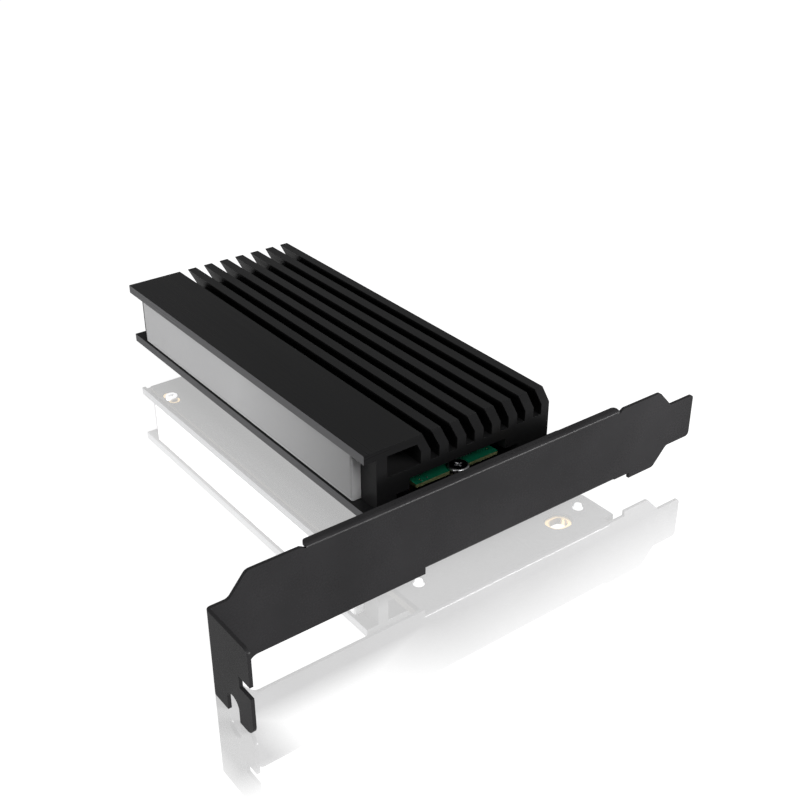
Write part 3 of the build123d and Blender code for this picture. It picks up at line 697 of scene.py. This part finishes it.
def studio_world():
    """White world for the camera, and a dome that is dimmer overhead for all else."""
    world = bpy.data.worlds.new("studio")
    world.use_nodes = True
    tree = world.node_tree
    tree.nodes.clear()
    path = node(tree, "ShaderNodeLightPath").outputs
    rise = parts(tree, node(tree, "ShaderNodeTexCoord").outputs["Generated"])["Z"]
    dome = spread(tree, rise, 1.0, SKY, 0.0, 0.08)
    bare = calc(tree, "MAXIMUM", path["Is Glossy Ray"], path["Is Transmission Ray"])
    share = calc(tree, "ADD", product(tree, bare, 1 - AMBIENT), AMBIENT)
    power = calc(tree, "MAXIMUM", path["Is Camera Ray"], product(tree, dome, share))
    sky = node(tree, "ShaderNodeBackground", {"Strength": power}, {"Color": WHITE})
    node(tree, "ShaderNodeOutputWorld", {"Surface": sky.outputs[0]})
    return world


class CARD_OT_stage(bpy.types.Operator):
    """Build the floor, the soft lamps and the camera"""
    bl_idname = "card.stage"
    bl_label = "Studio"

    def execute(self, context):
        scene = context.scene
        floor_height = cad_low.z - 0.02 * MM
        bpy.ops.object.select_all(action="DESELECT")
        bpy.ops.mesh.primitive_plane_add(size=8, location=(0, 0, floor_height))
        floor = context.object
        floor.name = "floor"
        floor.data.materials.append(floor_finish())
        scene.world = studio_world()

        for name, spot, aim, width, height, power in LAMPS:
            lamp = bpy.data.lights.new(name, "AREA")
            lamp.shape = "RECTANGLE"
            lamp.size, lamp.size_y, lamp.energy = width, height, power
            holder = bpy.data.objects.new(name, lamp)
            scene.collection.objects.link(holder)
            holder.location = spot
            beam = Vector(aim) - Vector(spot)
            holder.rotation_euler = beam.to_track_quat("-Z", "Y").to_euler()

        data = bpy.data.cameras.new("camera")
        camera = bpy.data.objects.new("camera", data)
        scene.collection.objects.link(camera)
        data.sensor_width = SENSOR
        data.lens = LENS
        data.shift_x, data.shift_y = SHIFT
        data.clip_start, data.clip_end = 0.01, 20
        forward, right = Vector(CAMERA_FORWARD).normalized(), Vector(CAMERA_RIGHT).normalized()
        up = right.cross(forward).normalized()
        turn = Matrix((right, up, -forward)).transposed().to_4x4()
        camera.matrix_world = Matrix.Translation(CAMERA_PLACE) @ turn
        scene.camera = camera
        scene.view_settings.view_transform = "Standard"
        return {"FINISHED"}


class CARD_OT_bracket(bpy.types.Operator):
    """Model the bent bracket and break its cut edges"""
    bl_idname = "card.bracket"
    bl_label = "Bracket"

    def execute(self, context):
        s = context.scene.card_bracket
        low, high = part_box("bracket")
        tab_x, tip_x = low.x, high.x
        bottom, top = -s.strip_width / 2, s.strip_width / 2
        foot, head = bottom - s.tab_drop, top - s.tab_drop
        outer = s.bend + s.sheet
        lip_depth, flange_depth, overlap = 2 * MM, 12 * MM, 2 * MM + outer
        flange_left, flange_right, flange_low = -23.0 * MM, 28.0 * MM, board_low.z - s.sheet
        wing_right = flange_right + 2.8 * MM
        lip_left, lip_right = -49.2 * MM, 27.8 * MM
        relief_right, relief_top = flange_right + 4.5 * MM, bottom + 1.3 * MM
        nick, nick_depth = 1.2 * MM, 0.7 * MM
        neck_in, neck_out = tab_x + s.neck_start, tab_x + s.neck_start + s.neck_run
        tongue_x = tip_x - s.tongue_length
        taper_x = tongue_x - s.tongue_taper
        half_tongue = s.tongue_width / 2
        outline = [
            (tab_x + outer, foot), (neck_in, foot), (neck_out, bottom, s.neck_low_corner),
            (flange_left, bottom), (flange_left, flange_low + outer),
            (flange_right, flange_low + outer), (flange_right, relief_top),
            (relief_right, relief_top), (relief_right, bottom), (taper_x, bottom, s.taper_corner),
            (tongue_x, -half_tongue, s.tongue_corner), (tip_x, -half_tongue, s.tongue_corner),
            (tip_x, half_tongue, s.tongue_top_corner), (tongue_x, half_tongue),
            (taper_x, top, s.taper_corner), (lip_right + nick, top), (lip_right, top - nick_depth),
            (lip_right, top - outer), (lip_left, top - outer), (lip_left, top - nick_depth),
            (lip_left - nick, top), (neck_out, top, s.neck_corner), (neck_in, head, s.neck_corner),
            (tab_x + outer, head)]
        plate = traced("bracket_sheet", (0, 0, 0), RIGHT, UP, outline, INWARD * s.sheet)
        lip = bent("lip", (lip_left, 0, top), INWARD, -UP, lip_depth, overlap,
                   RIGHT * (lip_right - lip_left))
        flange = bent("flange", (flange_left, 0, flange_low), INWARD, UP, flange_depth, overlap,
                      RIGHT * (flange_right - flange_left))
        tab = bent("tab", (tab_x, s.sheet, foot), RIGHT, -INWARD, s.neck_start,
                   s.tab_depth + s.sheet, UP * s.strip_width)
        wing = box_piece("wing", (flange_right - s.sheet, outer + s.sheet, flange_low),
                         (wing_right, flange_depth, flange_low + s.sheet))
        combined(plate, [lip, flange, tab, wing], "UNION")
        tidied(plate)

        rim, half = -s.tab_depth, s.notch_width / 2
        before, behind, crown_z = tab_x - MM, tab_x + 2 * MM, foot + s.notch_depth - half
        open_notch = box_piece("open_notch", (before, NOTCH_Y - half, foot - MM),
                               (behind, NOTCH_Y + half, crown_z))
        crown = round_piece("crown", (tab_x, NOTCH_Y, crown_z), half, 48, (0, pi / 2, 0))
        side_notch = box_piece("side_notch", (before, rim - MM, foot + 8.35 * MM),
                               (behind, rim + s.side_notch_depth, foot + 10.85 * MM))
        holes = [round_piece("hole", (x, PAN_Y, flange_low), 1.3 * MM, 32) for x in PAN_X]
        window = box_piece("window", (WINDOW_X[0], WINDOW_Y - WINDOW_HALF, flange_low - MM),
                           (WINDOW_X[1], WINDOW_Y + WINDOW_HALF, flange_low + 2 * MM))
        ends = [round_piece("window_end", (x, WINDOW_Y, flange_low), WINDOW_HALF)
                for x in WINDOW_X]
        combined(window, ends, "UNION")
        combined(plate, [open_notch, crown, side_notch, window, *holes], "DIFFERENCE")
        tidied(plate)
        for plane, corner, radius in (
                ("yz", (rim, foot), s.tab_foot_corner), ("yz", (rim, head), s.tab_corner),
                ("xy", (lip_left, lip_depth), 0.9 * MM), ("xy", (lip_right, lip_depth), 0.9 * MM),
                ("xy", (flange_left, flange_depth), 1.5 * MM),
                ("xy", (wing_right, flange_depth), 1.5 * MM)):
            rounded(plate, lambda p: near(getattr(p, plane), corner, 10 * TOUCH), radius, 8)
        softened(plate, s.edge_break)
        settle(plate, "powder_coat", "black_steel", "bracket")
        return {"FINISHED"}


class CARD_OT_heatsink(bpy.types.Operator):
    """Trace the heatsink's section, extrude it and cut its duct and lamp slit"""
    bl_idname = "card.heatsink"
    bl_label = "Heatsink"

    def execute(self, context):
        s = context.scene.card_heatsink
        low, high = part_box("heatsink")
        half, top, board, run = high.x, high.z, board_high.z, high.y - low.y
        kink, floor = board + 10.5 * MM, board + 7.95 * MM
        hook_in, hook_out = board_low.x - 0.1 * MM, board_low.x - MM
        back, groove_low, groove_high = -half + 3 * MM, board + 1.3 * MM, top - 2.07 * MM
        feet_left, feet_right, step = -16.7 * MM, 15.9 * MM, board + 3.05 * MM
        hollow_left, hollow_right, ceiling = -13.4 * MM, 12.2 * MM, board + 5.6 * MM
        section = [
            (hook_out, low.z), (hook_in, low.z), (hook_in, board), (feet_left, board),
            (feet_left, step), (hollow_left, step), (hollow_left, ceiling),
            (hollow_right, ceiling), (hollow_right, step), (feet_right, step),
            (feet_right, board), (half, board), (half, kink), (half - s.fin_lean, top)]
        first_slot = -8.05 * MM
        for n in reversed(range(s.fin_count)):
            left = first_slot + n * s.fin_pitch
            right = left + s.slot_width
            section += [(right - s.fin_lean, top), (right, kink), (right, floor), (left, floor),
                        (left, kink), (left - s.fin_lean, top)]
        section += [(-half, top), (-half, groove_high), (back, groove_high), (back, groove_low),
                    (hook_out, groove_low)]
        body = traced("heatsink_body", (0, low.y, 0), RIGHT, UP, section, INWARD * run)

        duct_left, duct_right, duct_high = -19 * MM, -10.55 * MM, board + 12.9 * MM
        chamfer = 2 * MM
        chamfer_run = chamfer * (s.fin_lean / (top - kink))
        duct_section = [(duct_left, floor), (duct_right, floor), (duct_right, duct_high - chamfer),
                        (duct_right - chamfer_run, duct_high), (duct_left, duct_high)]
        duct = traced("duct", (0, low.y - MM, 0), RIGHT, UP, duct_section,
                      INWARD * (run + 2 * MM))
        slit = box_piece("slit", (*SLIT[0], board - MM), (*SLIT[1], groove_low))
        combined(body, [duct, slit], "DIFFERENCE")
        tidied(body)
        softened(body, s.edge_break)
        settle(body, "black_anodising", "black_anodised", "heatsink")
        return {"FINISHED"}


class CARD_OT_light_bar(bpy.types.Operator):
    """Model the frosted bar with its rounded rim"""
    bl_idname = "card.light_bar"
    bl_label = "Light bar"

    def execute(self, context):
        low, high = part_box("light_bar")
        bar = box_piece("frosted_light_bar", low, high)
        rounded(bar, lambda p: p.x < low.x + 10 * TOUCH, 0.5 * MM, 5)
        softened(bar, 0.06 * MM)
        settle(bar, "frosted_acrylic", "frosted_bar", "light_bar")
        return {"FINISHED"}


class CARD_OT_screws(bpy.types.Operator):
    """Turn the screws with their threads and sink their cross recesses"""
    bl_idname = "card.screws"
    bl_label = "Screws"

    def execute(self, context):
        low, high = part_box("bracket_screws")
        top, head = board_high.z, 2.35 * MM
        dome = [(head * sin(a), high.z - 0.75 * MM * (1 - cos(a)))
                for a in map(radians, range(30, 91, 10))]
        profile = [(0, high.z), *dome, (head, top), (1.2 * MM, top),
                   *thread(top, low.z + 0.3 * MM, 1.25 * MM, 0.22 * MM, 0.5 * MM),
                   (0.8 * MM, low.z), (0, low.z)]
        pans = []
        for x in PAN_X:
            pan = turned("pan_screw", (x, PAN_Y, 0), profile)
            cross = recess((x, PAN_Y, high.z), 2.3 * MM, 0.5 * MM, 0.75 * MM)
            pans.append(combined(pan, [cross], "DIFFERENCE"))
        pans = softened(joined("pan_screws", pans), 0.03 * MM, 1, 40)
        settle(pans, "zinc_steel", "screw_steel", "bracket_screws")

        low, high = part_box("drive_screw")
        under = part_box("drive_board")[1].z
        x, y = (low.x + high.x) / 2, (low.y + high.y) / 2
        profile = [(0, high.z), (2.0 * MM, high.z), (2.2 * MM, high.z - 0.06 * MM),
                   (head, high.z - 0.22 * MM), (head, under + 0.1 * MM), (2.25 * MM, under),
                   (0.95 * MM, under),
                   *thread(under, low.z + 0.2 * MM, 1.0 * MM, 0.18 * MM, 0.4 * MM),
                   (0.6 * MM, low.z), (0, low.z)]
        wafer = turned("wafer_screw", (x, y, 0), profile)
        cross = recess((x, y, high.z), 2.3 * MM, 0.5 * MM, 0.5 * MM)
        combined(wafer, [cross], "DIFFERENCE")
        softened(wafer, 0.03 * MM, 1, 40)
        settle(wafer, "blackened_head", "screw_steel", "drive_screw")

        low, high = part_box("heatsink_screws")
        under = board_low.z
        profile = [(0, low.z), (1.25 * MM, low.z), (1.5 * MM, low.z + 0.1 * MM),
                   (1.6 * MM, low.z + 0.32 * MM), (1.6 * MM, under), (0.78 * MM, under),
                   *reversed(thread(high.z - 0.1 * MM, under, 0.8 * MM, 0.13 * MM, 0.35 * MM)),
                   (0.55 * MM, high.z), (0, high.z)]
        flats = []
        for x in FLAT_X:
            for y in FLAT_Y:
                flat = turned("flat_screw", (x, y, 0), profile, 40)
                cross = recess((x, y, low.z), 1.7 * MM, 0.4 * MM, 0.42 * MM, -1)
                flats.append(combined(flat, [cross], "DIFFERENCE"))
        flats = softened(joined("flat_screws", flats), 0.02 * MM, 1, 40)
        settle(flats, "zinc_steel", "screw_steel", "heatsink_screws")
        return {"FINISHED"}


class CARD_OT_drive(bpy.types.Operator):
    """Shape the drive's board, its packages and its small parts"""
    bl_idname = "card.drive"
    bl_label = "Drive"

    def execute(self, context):
        low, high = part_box("drive_board")
        half, shoulder, tongue = high.x, high.y - 4 * MM, 9.925 * MM
        flat_out, flat_in, flat_y = 2.35 * MM, 1.9 * MM, low.y + 0.45 * MM
        corner, inner_corner = 0.3 * MM, 0.5 * MM
        outline = [
            (-half, low.y, corner), (-flat_out, low.y), (-flat_in, flat_y), (flat_in, flat_y),
            (flat_out, low.y), (half, low.y, corner), (half, shoulder),
            (tongue, shoulder, inner_corner), (tongue, high.y), (-tongue, high.y),
            (-tongue, shoulder, inner_corner), (-half, shoulder)]
        board = traced("drive_circuit_board", (0, 0, low.z), RIGHT, INWARD, outline,
                       UP * (high.z - low.z))
        key_x, key_y, key_half = -6.125 * MM, high.y - 2.9 * MM, 0.6 * MM
        cuts = [round_piece("notch", (0, low.y, low.z), 1.75 * MM, 48),
                round_piece("key_end", (key_x, key_y, low.z), key_half, 32),
                box_piece("key", (key_x - key_half, key_y, low.z - MM),
                          (key_x + key_half, high.y + MM, high.z + MM))]
        for x, y in VIAS:
            cuts.append(round_piece("via", (x * MM, low.y + y * MM, low.z), 0.22 * MM, 16))
        combined(board, cuts, "DIFFERENCE")
        tidied(board)
        softened(board, 0.04 * MM, 1)
        settle(board, "green_mask", "board_green", "drive_board")

        wide, deep, proud = 0.22 * MM, 0.15 * MM, 0.03 * MM
        first = box_piece("pad", (-wide, -deep, high.z), (wide, deep, high.z + proud))
        softened(first, 0.012 * MM, 1)
        pads = [copied(first, (x * MM, low.y + y * MM, 0)) for x, y in TEST_PADS]
        bpy.data.objects.remove(first)
        settle(joined("drive_test_pads", pads), "tin", "tinned_contact")

        settle_copies((
            ("moulded_near_chip", "near_chip", "package", "chip_black", 0.07),
            ("moulded_control_chip", "control_chip", "package", "chip_black", 0.07),
            ("moulded_flash_chips", "flash_chips", "package", "chip_black", 0.07),
            ("small_drive_parts", "drive_passives", "ceramic", "ceramic_chip", 0.03),
            ("soft_lower_pad", "lower_thermal_pad", "silicone", "pad_grey", 0.18),
            ("soft_upper_pad", "upper_thermal_pad", "silicone", "pad_grey", 0.18)))
        return {"FINISHED"}


class CARD_OT_board_parts(bpy.types.Operator):
    """Shape what is soldered to the card's board"""
    bl_idname = "card.board_parts"
    bl_label = "Board's parts"

    def execute(self, context):
        settle_copies((
            ("moulded_socket", "drive_socket", "moulding", "black_moulding", 0.06),
            ("turned_standoff", "drive_standoff", "nickel_plate", "nickel_brass", 0.08),
            ("resin_lamps", "lamps", "lamp_resin", "lamp_white", 0.08),
            ("board_resistors", "chip_resistors", "ceramic", "ceramic_chip", 0.04)))
        return {"FINISHED"}


class CARD_OT_carried_nodes(bpy.types.Operator):
    """Give the carried-over solids their finishes"""
    bl_idname = "card.carried_nodes"
    bl_label = "Carried-over pieces"

    def execute(self, context):
        for name, finish in (
                ("circuit_board", "black_mask"), ("slot_linings", "hard_gold"),
                ("edge_fingers", "hard_gold"), ("copper_area", "hard_gold"),
                ("socket_contacts", "tin"), ("drive_fingers", "hard_gold")):
            dressed(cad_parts[name], finish)
        return {"FINISHED"}


class CARD_PT_panel(bpy.types.Panel):
    """Sidebar panel with the card's sizes and steps"""
    bl_idname = "CARD_PT_panel"
    bl_label = "Drive adapter card"
    bl_space_type = "VIEW_3D"
    bl_region_type = "UI"
    bl_category = "Card"

    def draw(self, context):
        for group in GROUPS:
            values = getattr(context.scene, group)
            for name in values.__annotations__:
                self.layout.prop(values, name)
        for operator in OPERATORS:
            self.layout.operator(operator.bl_idname)


GROUPS = {"card_bracket": CARD_PG_bracket, "card_heatsink": CARD_PG_heatsink,
          "card_finish": CARD_PG_finish}
OPERATORS = (CARD_OT_stage, CARD_OT_bracket, CARD_OT_heatsink, CARD_OT_light_bar, CARD_OT_screws,
             CARD_OT_drive, CARD_OT_board_parts, CARD_OT_carried_nodes)


def register():
    for group, kind in GROUPS.items():
        bpy.utils.register_class(kind)
        setattr(bpy.types.Scene, group, bpy.props.PointerProperty(type=kind))
    for kind in (*OPERATORS, CARD_PT_panel):
        bpy.utils.register_class(kind)


def unregister():
    for kind in (CARD_PT_panel, *reversed(OPERATORS)):
        bpy.utils.unregister_class(kind)
    for group, kind in GROUPS.items():
        delattr(bpy.types.Scene, group)
        bpy.utils.unregister_class(kind)


def main():
    """Build everything."""
    register()
    for operator in OPERATORS:
        getattr(bpy.ops.card, operator.bl_idname.split(".")[1])()


if __name__ == "__main__":
    main()
